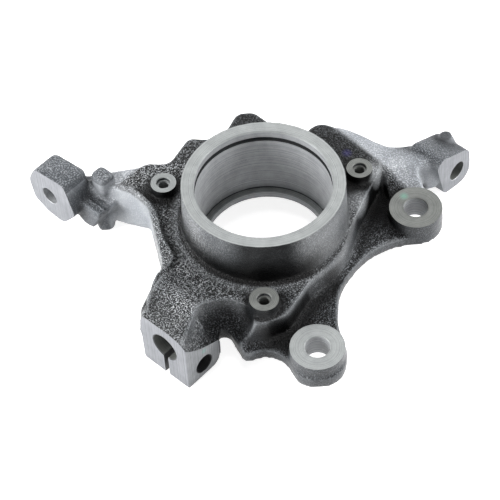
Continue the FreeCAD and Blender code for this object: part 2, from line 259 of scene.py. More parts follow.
def dabbed(tree, place, tone, dabs, most, cover=1.0):
    """Lays round dabs on a tone. Each is a centre and a radius in mm, and a colour; it is strongest in its
    core, where it covers the share most, times cover."""
    for centre, radius, colour in dabs:
        away = node(tree, "ShaderNodeVectorMath", {0: place, 1: centre * MM}, operation="DISTANCE")
        mask = node(tree, "ShaderNodeMapRange", {"Value": away.outputs["Value"]}, From_Min=radius * MM,
                    From_Max=radius * DAB_CORE * MM, To_Max=most).outputs["Result"]
        tone = layered(tree, tone, [(joined(tree, "MULTIPLY", mask, cover), colour, "MIX")])
    return tone


# Three faint inspection dabs of paint: on the right ear, beside the right boss and on the clamp's side.
PAINT_DABS = [(Vector((87.9, 17.3, -41.0)), 3.4, "#5FA58F"), (Vector((54.8, 49.3, -33.0)), 4.0, "#4A4583"),
              (Vector((-41.6, -87.6, -47.2)), 2.4, "#4FA391")]
PAINT_SHARE = 0.35
print("inspection dabs:", len(PAINT_DABS))

# %% [markdown]
# ## Finish of the casting: sand-cast iron
#
# Iron that was poured in a sand mould keeps the print of the sand: worm-like grains, lying on softer waves
# of a few millimetres. The grain is bump, because it is finer than any mesh that could still be exported,
# and its height also drives the colour: soot stays in the valleys and the crests are rubbed bare. Both
# arms are a paler, flatter grey, partly from shot blasting and partly as painted light on the arms. The pale
# areas end at slanted planes.

# %% Where the casting was blasted, and where light is painted on the arms
STRUT_ARM = [(Vector((0.787, 0.617, 0)), 83.2, 9.0), (Vector((0.72, 0.69, 0)), 82.0, 6.0), (BACK, 20.0, 6.0)]
STEERING_ARM = (Vector((-0.70, 0.714, 0)), 89.1, 5.0)
STEERING_FLANK = [(-UP, 35.5, 2.5), (Vector((-0.85, 0.53, 0)), 60.0, 6.0)]
# The shot scoured the two ends, the ribs of the stop and the pad above them less than the arms.
TIE_END = (-ACROSS, 110.0, 3.0)
STRUT_END = (-DOWN, 102.0, 10.0)
STOP_RIBS = [(DOWN, 50.0, 3.0), (-ACROSS, 86.0, 3.0), (ACROSS, -107.0, 3.0)]
STOP_PAD = [(UP, -31.8, 1.6), (-ACROSS, 92.0, 3.0)]
LUG_SHARE = 0.7


def blasted_and_lit_area(tree, place, level):
    """Two masks: the pale arms, scoured and with painted light, and in them the lugs and ends scoured less.
    """
    ends = joined(tree, "MAXIMUM", beyond(tree, place, TIE_END), beyond(tree, place, STRUT_END))
    ends = joined(tree, "MULTIPLY", ends, level)
    lugs = joined(tree, "MAXIMUM", beyond(tree, place, *STOP_RIBS), beyond(tree, place, *STOP_PAD), ends)
    area = joined(tree, "MAXIMUM", beyond(tree, place, *STRUT_ARM), beyond(tree, place, STEERING_ARM),
                  beyond(tree, place, *STEERING_FLANK))
    scouring = node(tree, "ShaderNodeMix", {0: lugs, 2: 1.0, 3: LUG_SHARE}).outputs[0]
    return joined(tree, "MULTIPLY", area, scouring), lugs


print("the strut arm turns pale", STRUT_ARM[0][1], "mm from the hub's axis")

# %% Where painted shade, painted light and wear lie
# The cove is the hollow ring at the barrel's foot. Painted shade there starts below the rim and is blackest
# in front.
COVE_EDGE = 54.2
COVE_BLUR = 1.4
BELOW_RIM = (-UP, 16.0, 22.0)
FRONT = [(EAST, -20.0, 16.0), (WEST, -18.0, 16.0)]
LEFT = (WEST, -30.0, 16.0)
# Beside the cove, the deck has a narrow rim with a painted highlight.
LIT_RIM_WIDTH = 4.0
# The lower web has painted shade and the shoulder behind the hub is darker; the front of the clamp roof has
# painted shade, and the crests on the far left of the deck have painted light.
SHADED_LOWER_WEB = (-UP, 39.0, 6.0)
SHOULDER = [(Vector((0.35, 0.94, 0)), 30.0, 12.0), (WEST, -78.0, 10.0)]
SHADED_CLAMP_ROOF = (DOWN, 90.0, 14.0)
ROOF_SHARE = 0.35
FAR_LEFT = (WEST, 40.0, 20.0)
LEFT_LIGHT_SHARE = 0.3
# Painted shade rings the foot of each boss, and lies in the troughs beside the ridges of the bowl and of the
# web.
BOSS_RING = 13.5
BOSS_BLUR = 5.0
TROUGH_RADIUS = 7.5
TROUGH_BLUR = 9.0
TROUGH_DEPTH = (-UP, 37.0, 5.0)
TROUGHS = [(38.6, -41.6), (28.9, -49.3), (20.5, -57.8), (12.6, -67.7), (4.8, -77.5), (-2.1, -82.8),
           (79.0, 41.7), (70.8, 28.9), (62.6, 14.6), (55.2, 2.2)]
# Two scuffs from the shot beside the right boss, and a dark smear on the knob of the strut arm.
SCUFFS = [(Vector((71.6, 32.6, -34.0)), 12.0, "#B0B3B6"), (Vector((60.0, 7.9, -34.0)), 11.0, "#A4A7AA"),
          (Vector((118.5, 61.5, -38.0)), 15.0, "#2A2B2C")]
SCUFF_SHARE = 0.8
# Painted shade darkens what the shape shelters within 20 mm, and tight corners within 5 mm again.
SHADE_REACH_MM = 20.0
CREVICE_SHADE_MM = 5.0


def black_skin(tree, place, speck, crest):
    """Tone of unblasted skin: grain, rubbed ridges, a darker shoulder, painted shade, light and highlights.
    """
    hub = inside(tree, place, COVE_EDGE, COVE_BLUR)
    # Painted shade on the barrel: in front, and in the cove below the rim, fainter on the right.
    front = joined(tree, "MULTIPLY", beyond(tree, place, *FRONT), hub)
    fainter_right = node(tree, "ShaderNodeMix", {0: beyond(tree, place, LEFT), 2: 0.45, 3: 1.0}).outputs[0]
    cove = joined(tree, "MULTIPLY", hub, beyond(tree, place, BELOW_RIM), fainter_right)
    # Layers: the grain, painted shade in front, in the cove and on the lower web, and the darker shoulder.
    layers = [(speck, "#B4B7BA", "MIX"), (front, "#606162", "MULTIPLY"), (cove, "#232425", "MULTIPLY"),
              (beyond(tree, place, SHADED_LOWER_WEB), "#BDBEC0", "MULTIPLY"),
              (beyond(tree, place, *SHOULDER), "#808182", "MULTIPLY")]
    # Painted shade in each trough beside a ridge.
    deep = beyond(tree, place, TROUGH_DEPTH)
    for spot in TROUGHS:
        trough = inside(tree, place, TROUGH_RADIUS, TROUGH_BLUR, Vector((*spot, 0)))
        layers.append((joined(tree, "MULTIPLY", trough, deep), "#707172", "MULTIPLY"))
    # Painted shade on the front of the clamp roof, whose grain is also calmer, and painted light on the
    # crests of the far left.
    roof = beyond(tree, place, SHADED_CLAMP_ROOF)
    calm_roof = joined(tree, "MULTIPLY", roof, ROOF_SHARE)
    painted_left_light = joined(tree, "MULTIPLY", beyond(tree, place, FAR_LEFT), crest, LEFT_LIGHT_SHARE)
    layers += [(roof, "#B0B1B2", "MULTIPLY"), (calm_roof, "#3C3D3E", "MIX"), (painted_left_light, "#E6E8EA", "MIX")]
    # Painted shade round the foot of each boss.
    for centre in BOSSES:
        layers.append((inside(tree, place, BOSS_RING, BOSS_BLUR, centre), "#5A5B5C", "MULTIPLY"))
    # Ridges are rubbed and get a painted highlight; hollows get painted shade.
    bend = node(tree, "ShaderNodeAttribute", attribute_name="bend").outputs["Fac"]
    rubbed_lit_ridge = node(tree, "ShaderNodeMapRange", {"Value": bend}, From_Min=0.04, From_Max=0.15, To_Max=0.6)
    shaded_hollow = node(tree, "ShaderNodeMapRange", {"Value": bend}, From_Min=-0.03, From_Max=-0.15)
    layers += [(rubbed_lit_ridge.outputs["Result"], "#9FA2A5", "MIX"), (shaded_hollow.outputs["Result"], "#3A3B3C", "MULTIPLY")]
    return layered(tree, "#131415", layers)


def painted_shelter_shade(tree, tone, blasted_and_lit):
    """Darkens a tone with painted shade where the shape shelters it, but hardly on the pale arms."""
    faint_on_arms = node(tree, "ShaderNodeMix", {0: blasted_and_lit, 2: 1.0, 3: 0.15}).outputs[0]
    for reach, closed, opened, shade_tone, share in ((SHADE_REACH_MM, 0.58, 0.97, "#101011", faint_on_arms),
                                               (CREVICE_SHADE_MM, 0.45, 0.95, "#303031", 1.0)):
        # Ambient occlusion paints the shade into the colour: darkest where the shape is closed.
        light = node(tree, "ShaderNodeAmbientOcclusion", samples=8, Distance=reach * MM).outputs["AO"]
        clear = node(tree, "ShaderNodeMapRange", {"Value": light}, From_Min=closed, From_Max=opened)
        stain = layered(tree, shade_tone, [(clear.outputs["Result"], "#FFFFFF", "MIX")])
        tone = layered(tree, tone, [(share, stain, "MULTIPLY")])
    return tone


def lit_rim(tree, place, crest):
    """Mask of the deck's inner rim, beside the cove, for a painted highlight that is brightest on the crests.
    """
    ring = joined(tree, "SUBTRACT", inside(tree, place, COVE_EDGE + LIT_RIM_WIDTH, LIT_RIM_WIDTH),
                  inside(tree, place, COVE_EDGE, COVE_BLUR))
    on_crests = node(tree, "ShaderNodeMix", {0: crest, 2: 0.15, 3: 0.75}).outputs[0]
    return joined(tree, "MULTIPLY", ring, beyond(tree, place, LEFT), on_crests)


print("shade_painted troughs:", len(TROUGHS))

# %% Sand-cast iron
# One grain and its gap. Moulding sand is about 0.3 mm; it is drawn coarser, as a pixel is 0.6 mm wide here.
GRAIN_MM = 0.88
WAVE_MM = 7.2
STAIN_MM = 26.3
# Height of the waves, and of the grain on the deck, on walls and on the blasted arms.
WAVE_PRINT_MM = 0.6
DECK_PRINT_MM = 2.4
WALL_PRINT_MM = 0.35
BLASTED_PRINT_MM = 0.25


def sand_cast_iron():
    """Grey cast iron from a sand mould: black, matt and grainy, pale where blasted; painted light and shade.
    """
    material, tree = new_material("sand_cast_iron")
    spots = node(tree, "ShaderNodeTexCoord").outputs
    place = spots["Object"]
    grain = node(tree, "ShaderNodeTexNoise", {"Vector": place}, Scale=1 / (GRAIN_MM * MM), Detail=1.5,
                 Roughness=0.6).outputs["Fac"]
    waves = node(tree, "ShaderNodeTexNoise", {"Vector": place}, Scale=1 / (WAVE_MM * MM),
                 Detail=2.0).outputs["Fac"]
    stain = node(tree, "ShaderNodeTexNoise", {"Vector": place}, Scale=1 / (STAIN_MM * MM),
                 Detail=4.0).outputs["Fac"]
    crest = node(tree, "ShaderNodeMapRange", {"Value": grain}, From_Min=0.49, From_Max=0.64).outputs["Result"]
    patch = node(tree, "ShaderNodeMapRange", {"Value": stain}, From_Min=0.35, From_Max=0.65).outputs["Result"]
    # Walls leave the mould smoother than level ground, so the grain fades on them.
    lift = node(tree, "ShaderNodeSeparateXYZ", {"Vector": spots["Normal"]}).outputs["Z"]
    level = node(tree, "ShaderNodeMapRange", {"Value": lift}, From_Min=0.35, From_Max=0.8).outputs["Result"]
    calm = node(tree, "ShaderNodeMix", {0: 0.3, 2: 0.42, 3: crest}).outputs[0]
    speck = node(tree, "ShaderNodeMix", {0: level, 2: calm, 3: crest}).outputs[0]
    # Three tones lie on each other: the black skin, the scoured arms with painted light, and what painted
    # shade, a painted rim highlight, scuffs and paint add.
    blasted_and_lit, lugs = blasted_and_lit_area(tree, place, level)
    scoured_and_lit = layered(tree, "#8F9296", [(speck, "#C2C5C9", "MIX"), (lugs, "#9A9C9F", "MULTIPLY")])
    tone = black_skin(tree, place, speck, crest)
    tone = layered(tree, tone, [(blasted_and_lit, scoured_and_lit, "MIX"), (patch, "#CFD1D3", "MULTIPLY")])
    tone = painted_shelter_shade(tree, tone, blasted_and_lit)
    tone = layered(tree, tone, [(lit_rim(tree, place, crest), "#8B8E91", "MIX")])
    on_crests = node(tree, "ShaderNodeMix", {0: crest, 2: 0.5, 3: 1.0}).outputs[0]
    tone = dabbed(tree, place, tone, SCUFFS, SCUFF_SHARE, on_crests)
    tone = dabbed(tree, place, tone, PAINT_DABS, PAINT_SHARE)
    # The print is deep on level ground and shallow on walls and on the blasted arms.
    depth = node(tree, "ShaderNodeMix", {0: level, 2: WALL_PRINT_MM * MM, 3: DECK_PRINT_MM * MM}).outputs[0]
    depth = node(tree, "ShaderNodeMix", {0: blasted_and_lit, 2: depth, 3: BLASTED_PRINT_MM * MM}).outputs[0]
    bump = node(tree, "ShaderNodeBump", {"Height": waves}, Strength=0.5,
                Distance=WAVE_PRINT_MM * MM).outputs["Normal"]
    bump = node(tree, "ShaderNodeBump", {"Height": grain, "Normal": bump, "Distance": depth},
                Strength=1.0).outputs["Normal"]
    matt = node(tree, "ShaderNodeMix", {0: level, 2: 0.32, 3: 0.42}).outputs[0]
    matt = node(tree, "ShaderNodeMix", {0: blasted_and_lit, 2: matt, 3: 0.55}).outputs[0]
    shader = node(tree, "ShaderNodeBsdfPrincipled", {"Base Color": tone, "Normal": bump, "Roughness": matt},
                  Metallic=0.15, Specular_IOR_Level=0.2)
    node(tree, "ShaderNodeOutputMaterial", {"Surface": shader.outputs["BSDF"]})
    return material


cast_skin = sand_cast_iron()
print(cast_skin.name, "has", len(cast_skin.node_tree.nodes), "nodes")

# %% [markdown]
# ## Finish of the cuts: machined iron
#
# A cut face is bare grey iron with fine parallel tool marks. They follow the tool: circles on a turned face,
# straight lines on a milled one, rings down a bored hole. Each cut face therefore gets a coordinate that
# counts millimetres along the feed of its tool, kept as a UV map, and one material draws lines across it.
# Real marks are 0.1 to 0.3 mm apart; they are drawn up to 0.9 mm apart, so that the render can show them.
# Iron is a metal, but rough iron under soft light looks like a matt grey, so its metallic value is low here.


# %% Machined iron
CLOUD_MM = 8.333


def machined_iron(name, light, dark, track_mm, depth_mm, roughness):
    """Bare cut iron: silky grey between light and dark, with marks track_mm apart and faint clouds."""
    material, tree = new_material(name)
    feed = node(tree, "ShaderNodeUVMap", uv_map="tool_feed").outputs["UV"]
    split = node(tree, "ShaderNodeSeparateXYZ", {"Vector": feed})
    place = node(tree, "ShaderNodeTexCoord").outputs["Object"]
    tracks = node(tree, "ShaderNodeTexNoise", {"W": split.outputs["X"]}, noise_dimensions="1D",
                  Scale=1 / track_mm, Detail=4.0, Roughness=0.75).outputs["Fac"]
    cloud = node(tree, "ShaderNodeTexNoise", {"Vector": place}, Scale=1 / (CLOUD_MM * MM), Detail=5.0,
                 Roughness=0.65).outputs["Fac"]
    marks = node(tree, "ShaderNodeMix", {0: 0.3, 2: tracks, 3: cloud}).outputs[0]
    spread = node(tree, "ShaderNodeMapRange", {"Value": marks}, From_Min=0.35, From_Max=0.65)
    tone = layered(tree, dark, [(spread.outputs["Result"], light, "MIX")])
    tone = dabbed(tree, place, tone, PAINT_DABS, PAINT_SHARE)
    bump = node(tree, "ShaderNodeBump", {"Height": tracks}, Strength=0.6, Distance=depth_mm * MM)
    shader = node(tree, "ShaderNodeBsdfPrincipled", {"Base Color": tone, "Normal": bump.outputs["Normal"]},
                  Metallic=0.2, Specular_IOR_Level=0.3, Roughness=roughness)
    node(tree, "ShaderNodeOutputMaterial", {"Surface": shader.outputs["BSDF"]})
    return material


# Each line gives the light and the dark tone, the spacing and depth of the marks in mm, and the roughness.
turned_iron = machined_iron("turned_iron", "#8E9190", "#606364", 0.5, 0.05, 0.52)
# Two bosses and the outer ear have a thin brown-grey film of oxide.
dulled_iron = machined_iron("dulled_iron", "#70726F", "#424443", 0.5, 0.05, 0.52)
milled_iron = machined_iron("milled_iron", "#8F9195", "#64666B", 0.9, 0.06, 0.5)
# The side of the clamp was cut with a worn mill, which left more chatter.
chattered_iron = machined_iron("chattered_iron", "#97999C", "#606366", 0.7, 0.12, 0.5)
bored_iron = machined_iron("bored_iron", "#ABADAF", "#707275", 0.8, 0.08, 0.45)
# Drilled holes still hold cutting oil, which makes their walls dark.
oiled_iron = machined_iron("oiled_iron", "#4A4C4E", "#1C1D1E", 0.8, 0.08, 0.35)
finishes = [cast_skin, turned_iron, dulled_iron, milled_iron, chattered_iron, bored_iron, oiled_iron]
print("finishes:", [finish.name for finish in finishes])

# %% [markdown]
# ## Pouring the casting
#
# The foundry makes the casting a little too thick wherever it will be cut, and without the holes. So a copy
# of the CAD mesh has each flat cut face pushed out by the allowance, and every hole filled with a plug.
# Small balls lie along the joint of the two mould halves. A voxel remesh then melts all of that into one
# skin, where the balls become the parting bead, and smoothing rounds its edges as sand does.


# %% Shapes that the foundry and the machine shop share
def turned_shape(mesh, profile, foot, axis, steps):
    """A closed solid of revolution; profile lists (radius, height along axis) in mm, from axis to axis."""
    side = axis.orthogonal().normalized()
    other = axis.cross(side)
    angles = [2 * math.pi * k / steps for k in range(steps)]
    rings = []
    for radius, height in profile:
        middle = foot + axis * height
        if radius == 0:
            rings.append([mesh.verts.new(middle * MM)])
            continue
        rim = [(middle + (side * math.cos(a) + other * math.sin(a)) * radius) * MM for a in angles]
        rings.append([mesh.verts.new(spot) for spot in rim])
    for low, high in zip(rings, rings[1:]):
        for k in range(steps):
            below = [low[k % len(low)], low[(k + 1) % len(low)]]
            above = [high[(k + 1) % len(high)], high[k % len(high)]]
            mesh.faces.new(list(dict.fromkeys(below + above)))


def block(mesh, corner, size):
    """A box; corner and size are given as (across, down, height) in mm."""
    made = bmesh.ops.create_cube(mesh, size=1.0)["verts"]
    for v in made:
        share = v.co + Vector((0.5, 0.5, 0.5))
        v.co = at(*(c + s * k for c, s, k in zip(corner, size, share))) * MM


print("10 mm along ACROSS and 10 mm along DOWN lead to", [round(v, 1) for v in at(10, 10, 0)])

# %% Allowance, plugs and parting bead
# How much iron the foundry leaves on each face that will be cut.
ALLOWANCE = 1.5
# Plugs stop just short of the thickened faces, so that no two faces coincide.
SHY = 0.1
# Radius and, where the hole ends inside the iron, length of each plug: a little more than its hole has.
HUB_PLUG = 46.0
BOSS_PLUG = 5.5
BOSS_PLUG_FOOT = -46.0
EAR_PLUG = 9.0
STUD_PLUG = (10.5, 24.0)
PINCH_PLUG = (7.5, 38.2)
TIE_PLUG = (7.5, 22.0)
STRUT_PLUG = (8.0, 27.0)
PLUG_STEPS = 32
HUB_PLUG_STEPS = 96
# The slot's plug is a bar: where it starts along ACROSS, and its width, depth, foot and height.
SLOT_LENGTH = 30.6
BAR_SIDE = 12.0
BAR_WIDTH = 5.4
BAR_DEPTH = SLOT_LENGTH + 0.2
BAR_FOOT = -69.9
BAR_HEIGHT = 25.9
# A face lies on a cut plane if it is this parallel to it and this near, in mm.
PARALLEL = 0.9995
NEAR_MM = 0.02


def on_plane(face, normal, level):
    off = face.calc_center_median().dot(normal) / MM - level
    return face.normal.dot(normal) > PARALLEL and abs(off) < NEAR_MM


def push_out(mesh, normal, level):
    """Thickens the solid by the machining allowance on one flat face."""
    faces = [f for f in mesh.faces if on_plane(f, normal, level)]
    made = bmesh.ops.extrude_face_region(mesh, geom=faces)["geom"]
    moved = [v for v in made if isinstance(v, bmesh.types.BMVert)]
    bmesh.ops.delete(mesh, geom=faces, context="FACES_ONLY")
    bmesh.ops.translate(mesh, verts=moved, vec=normal * ALLOWANCE * MM)
    return len(faces)


def plug(mesh, radius, foot, axis, length):
    turned_shape(mesh, [(0, 0), (radius, 0), (radius, length), (0, length)], foot, axis, PLUG_STEPS)


def fill_holes(mesh):
    """Plugs every hole and the slot with solids a little wider than they are."""
    a = ALLOWANCE - SHY
    hub_foot = HUB_BOTTOM + SHY
    hub = [(0, hub_foot), (HUB_PLUG, hub_foot), (HUB_PLUG, a), (0, a)]
    turned_shape(mesh, hub, Vector(), UP, HUB_PLUG_STEPS)
    for centre in BOSSES:
        plug(mesh, BOSS_PLUG, centre + UP * BOSS_PLUG_FOOT, UP, BOSS_TOP - BOSS_PLUG_FOOT + a)
    for centre in EARS:
        plug(mesh, EAR_PLUG, centre + UP * (EAR_FOOT + SHY), UP, EAR_TOP - EAR_FOOT + a - SHY)
    plug(mesh, STUD_PLUG[0], STUD_HOLE + DOWN * a, -DOWN, STUD_PLUG[1] + a)
    block(mesh, (BAR_SIDE, CLAMP_FACE - BAR_DEPTH, BAR_FOOT), (BAR_WIDTH, BAR_DEPTH + a, BAR_HEIGHT))
    for hole, outward, (radius, length) in ((PINCH_HOLE, ACROSS, PINCH_PLUG), (TIE_HOLE, DOWN, TIE_PLUG),
                                            (STRUT_HOLE, ACROSS, STRUT_PLUG)):
        plug(mesh, radius, hole + outward * a, -outward, length)


# Where the two mould halves met, a bead runs along the left edge of the deck down to the clamp.
BEAD_MM = 2.2
BEAD_STEP = 1.0
BEAD_SKY = 10.0
BEAD_FLOOR = -40.0
BEAD = [(-88.5, 34.5), (-81.9, 30.7), (-75.7, 23.6), (-70.8, 17.4), (-67.5, 9.0), (-65.5, -2.0),
        (-63.5, -12.3), (-59.5, -20.5), (-57.4, -27.0), (-60.5, -33.5), (-66.4, -40.3), (-69.0, -46.6),
        (-71.6, -61.7), (-73.0, -72.0)]


def parting_bead(mesh):
    """A row of small balls half sunk in the upper surface; the remesh melts them into one bead."""
    surface = BVHTree.FromBMesh(mesh)
    for start, end in zip(BEAD, BEAD[1:]):
        start, end = Vector((*start, BEAD_SKY)), Vector((*end, BEAD_SKY))
        steps = math.ceil((end - start).length / BEAD_STEP)
        for k in range(steps):
            hit = surface.ray_cast(start.lerp(end, k / steps) * MM, -UP)[0]
            if hit and hit.z / MM > BEAD_FLOOR:
                bmesh.ops.create_icosphere(mesh, subdivisions=1, radius=BEAD_MM * MM,
                                           matrix=Matrix.Translation(hit))


def raw_casting():
    mesh = bmesh.new()
    mesh.from_mesh(frame["nodes"]["knuckle"].data)
    bmesh.ops.remove_doubles(mesh, verts=mesh.verts, dist=1e-6)
    mesh.normal_update()
    cut_planes = [(UP, 0.0), (UP, BOSS_TOP), (UP, EAR_TOP), (DOWN, CLAMP_FACE), (ACROSS, CLAMP_SIDE),
                  (DOWN, TIE_FACE), (ACROSS, STRUT_FACE)]
    counts = [push_out(mesh, normal, level) for normal, level in cut_planes]
    print("facets pushed out on each cut plane:", counts)
    parting_bead(mesh)
    fill_holes(mesh)
    bmesh.ops.recalc_face_normals(mesh, faces=mesh.faces)
    data = bpy.data.meshes.new("knuckle_casting")
    mesh.to_mesh(data)
    mesh.free()
    casting = bpy.data.objects.new("knuckle_casting", data)
    scene.collection.objects.link(casting)
    return casting


casting = raw_casting()

# %% One skin by voxel remesh and smoothing
VOXEL_MM = 1.15


def applied(thing):
    """Puts what the modifiers make into the object's own mesh and removes them."""
    made = bpy.data.meshes.new_from_object(thing.evaluated_get(bpy.context.evaluated_depsgraph_get()))
    thing.modifiers.clear()
    thing.data = made


melt = casting.modifiers.new("melt", "REMESH")
melt.mode = "VOXEL"
melt.voxel_size = VOXEL_MM * MM
applied(casting)

# The ribs of the stop: from and to, along ACROSS, DOWN and UP.
RIBS = [(-110, -84), (48, 61), (-50, 0)]
RIB_SHARE = 0.1
# The parting bead: how far it reaches to each side, and between which heights it runs.
BEAD_REACH = 3.0
BEAD_HEIGHTS = (-40, -20)
BEAD_SHARE = 0.3


def softness(spot):
    """Share of the smoothing that a point takes: little on the ribs of the stop and on the parting bead."""
    places = [spot.dot(direction) / MM for direction in (ACROSS, DOWN, UP)]
    if all(low < place < high for place, (low, high) in zip(places, RIBS)):
        return RIB_SHARE
    plan = spot.xy.to_3d() / MM
    for start, end in zip(BEAD, BEAD[1:]):
        nearest, share = intersect_point_line(plan, Vector((*start, 0)), Vector((*end, 0)))
        near = 0 <= share <= 1 and (nearest - plan).length < BEAD_REACH
        if near and BEAD_HEIGHTS[0] < spot.z / MM < BEAD_HEIGHTS[1]:
            return BEAD_SHARE
    return 1.0


soft = casting.vertex_groups.new(name="soft")
for vertex in casting.data.vertices:
    soft.add([vertex.index], softness(vertex.co), "REPLACE")
soften = casting.modifiers.new("soften", "SMOOTH")
soften.factor = 0.5
soften.iterations = 4
soften.vertex_group = "soft"
applied(casting)
print("skin has", len(casting.data.polygons), "faces")

# %% [markdown]
# ## Print of the sand mould
#
# The mould is never quite even, so the skin waves by a few tenths of a millimetre. A Geometry Nodes tree
# pushes every point along its normal by a noise value. It works on any casting, and its inputs are sizes
# that a founder would give: how wide the waves are and how high.


# %% Geometry Nodes tree for the mould print
PRINT_SIZES_MM = {"Wave width": 7.0, "Wave height": 0.35, "Grain width": 2.6, "Grain height": 0.22}


def mould_print_tree():
    tree = bpy.data.node_groups.new("mould_print", "GeometryNodeTree")
    tree.interface.new_socket("Geometry", in_out="INPUT", socket_type="NodeSocketGeometry")
    tree.interface.new_socket("Geometry", in_out="OUTPUT", socket_type="NodeSocketGeometry")
    for name, size in PRINT_SIZES_MM.items():
        socket = tree.interface.new_socket(name, in_out="INPUT", socket_type="NodeSocketFloat")
        socket.default_value = size * MM
    tree.interface.new_socket("Skin", in_out="INPUT", socket_type="NodeSocketMaterial")
    given = node(tree, "NodeGroupInput").outputs
    spot = node(tree, "GeometryNodeInputPosition").outputs["Position"]
    normal = node(tree, "GeometryNodeInputNormal").outputs["Normal"]
    pushes = []
    for width, height in (("Wave width", "Wave height"), ("Grain width", "Grain height")):
        scale = joined(tree, "DIVIDE", 1.0, given[width])
        noise = node(tree, "ShaderNodeTexNoise", {"Vector": spot, "Scale": scale}, Detail=1.0)
        centred = joined(tree, "SUBTRACT", noise.outputs["Fac"], 0.5)
        pushes.append(joined(tree, "MULTIPLY", centred, given[height]))
    push = joined(tree, "ADD", *pushes)
    offset = node(tree, "ShaderNodeVectorMath", {0: normal, "Scale": push}, operation="SCALE").outputs[0]
    moved = node(tree, "GeometryNodeSetPosition", {"Geometry": given["Geometry"], "Offset": offset})
    real = node(tree, "GeometryNodeRealizeInstances", {"Geometry": moved.outputs[0]})
    painted = node(tree, "GeometryNodeSetMaterial", {"Geometry": real.outputs[0], "Material": given["Skin"]})
    node(tree, "NodeGroupOutput", {"Geometry": painted.outputs[0]})
    return tree


def add_tree(thing, tree, **values):
    """Adds a Geometry Nodes modifier and sets its inputs by their identifiers."""
    modifier = thing.modifiers.new(tree.name, "NODES")
    modifier.node_group = tree
    for item in tree.interface.items_tree:
        key = item.name.replace(" ", "_").lower()
        if item.in_out == "INPUT" and key in values:
            modifier[item.identifier] = values[key]


add_tree(casting, mould_print_tree(), skin=cast_skin)
applied(casting)
print("materials of the casting:", [m.name for m in casting.data.materials])

# %% [markdown]
# ## Machining
#
# Each cut is a solid with the shape that the tool sweeps, and a boolean difference takes it away. A turned
# solid serves for the bearing bore, the bosses, the ears and the drilled holes, and a box for a milled face.
# Every cutter has a material of its own, so that the new faces can be told apart and given tool marks.

# %% How a cutter is made
cuts = {}


def add_cutter(name, mesh, finish, wall, feed):
    """Keeps one cutter, with the finish of the faces square to its feed axis and of the walls along it.

    feed says how the tool marks run: ("round", foot, axis) or ("straight", direction).
    """
    bmesh.ops.recalc_face_normals(mesh, faces=mesh.faces)
    if mesh.calc_volume(signed=True) < 0:
        bmesh.ops.reverse_faces(mesh, faces=mesh.faces)
    data = bpy.data.meshes.new(name)
    mesh.to_mesh(data)
    mesh.free()
    data.materials.append(bpy.data.materials.new("cut_" + name))
    tool = bpy.data.objects.new(name, data)
    scene.collection.objects.link(tool)
    cuts[name] = (tool, finish, wall, feed)


def turned_cut(name, finish, wall, profile, foot, axis, steps):
    """A tool that turns, such as a drill: it sweeps a solid of revolution."""
    mesh = bmesh.new()
    turned_shape(mesh, profile, foot, axis, steps)
    add_cutter(name, mesh, finish, wall, ("round", foot, axis))


def milled_cut(name, finish, corner, size, direction):
    """A mill that runs straight: it sweeps a box, given by corner and size along ACROSS, DOWN and UP."""
    mesh = bmesh.new()
    block(mesh, corner, size)
    add_cutter(name, mesh, finish, finish, ("straight", direction))


def opening(clear, top, hole, chamfer, face=None):
    """Start of a profile: down from clear air onto the cut face, and over the chamfer into the hole."""
    width = face or hole + chamfer
    start = [(0, clear), (width, clear), (width, top)]
    if face:
        start.append((hole + chamfer, top))
    return start + [(hole, top - chamfer)]


# How deep a thread's groove is, as a share of its pitch.
GROOVE = 0.45


def thread(radius, top, bottom, pitch):
    """Profile of a threaded hole: ridges of one pitch each."""
    ridges = []
    height = top
    while height - pitch > bottom:
        ridges += [(radius, height), (radius + GROOVE * pitch, height - pitch / 2)]
        height -= pitch
    return ridges + [(radius, height)]


print("a drill's profile starts with", opening(5, 0, 6.5, 0.3))

# %% Cutters of the hub, the bosses and the ears
# Radii of the bore, of its lip, and of the rim with room around it; heights of the lip and below the part.
BORE = 42.0
LIP = 38.2
RIM_CUT = 56.0
RIM_CHAMFER = 0.8
LIP_TOP = -52.5
LIP_CHAMFER = 0.5
UNDER = -62.0
# Name, radius, top and bottom of the two grooves in the bore.
GROOVES = (("ring_groove", 44.2, -5.0, -8.4), ("tool_relief", 42.5, -51.6, -52.4))
# A boss has a wider mouth above its thread, and the drill went a little deeper than the tap.
BOSS_CUT = 11.0
BOSS_MOUTH = 4.3
BOSS_MOUTH_FOOT = -28.3
BOSS_THREAD = 3.2
THREAD_FOOT = -42.0
DRILL_END = -43.5
PITCH = 1.25
EAR_CUT = 17.8
EAR_BORE = 7.5
CHAMFER = 0.4
# Height at which each tool comes down to its work, and how many sides a round tool has.
HUB_START = 4.0
BOSS_START = -20.0
EAR_START = -34.0
HUB_STEPS = 160
EAR_STEPS = 64
PIN_STEPS = 48

hub = opening(HUB_START, 0, BORE, RIM_CHAMFER, RIM_CUT)
hub += [(BORE, LIP_TOP), (LIP + LIP_CHAMFER, LIP_TOP), (LIP, LIP_TOP - LIP_CHAMFER), (LIP, UNDER), (0, UNDER)]
turned_cut("hub", turned_iron, bored_iron, hub, Vector(), UP, HUB_STEPS)
for name, radius, top, bottom in GROOVES:
    groove = [(0, top), (radius, top), (radius, bottom), (0, bottom)]
    turned_cut(name, oiled_iron, oiled_iron, groove, Vector(), UP, HUB_STEPS)
boss = opening(BOSS_START, BOSS_TOP, BOSS_MOUTH, CHAMFER, BOSS_CUT) + [(BOSS_MOUTH, BOSS_MOUTH_FOOT)]
boss += thread(BOSS_THREAD, BOSS_MOUTH_FOOT, THREAD_FOOT, PITCH) + [(0, DRILL_END)]
for i, (centre, finish) in enumerate(zip(BOSSES, (dulled_iron, turned_iron, dulled_iron))):
    turned_cut("boss_%d" % i, finish, oiled_iron, boss, centre, UP, PIN_STEPS)
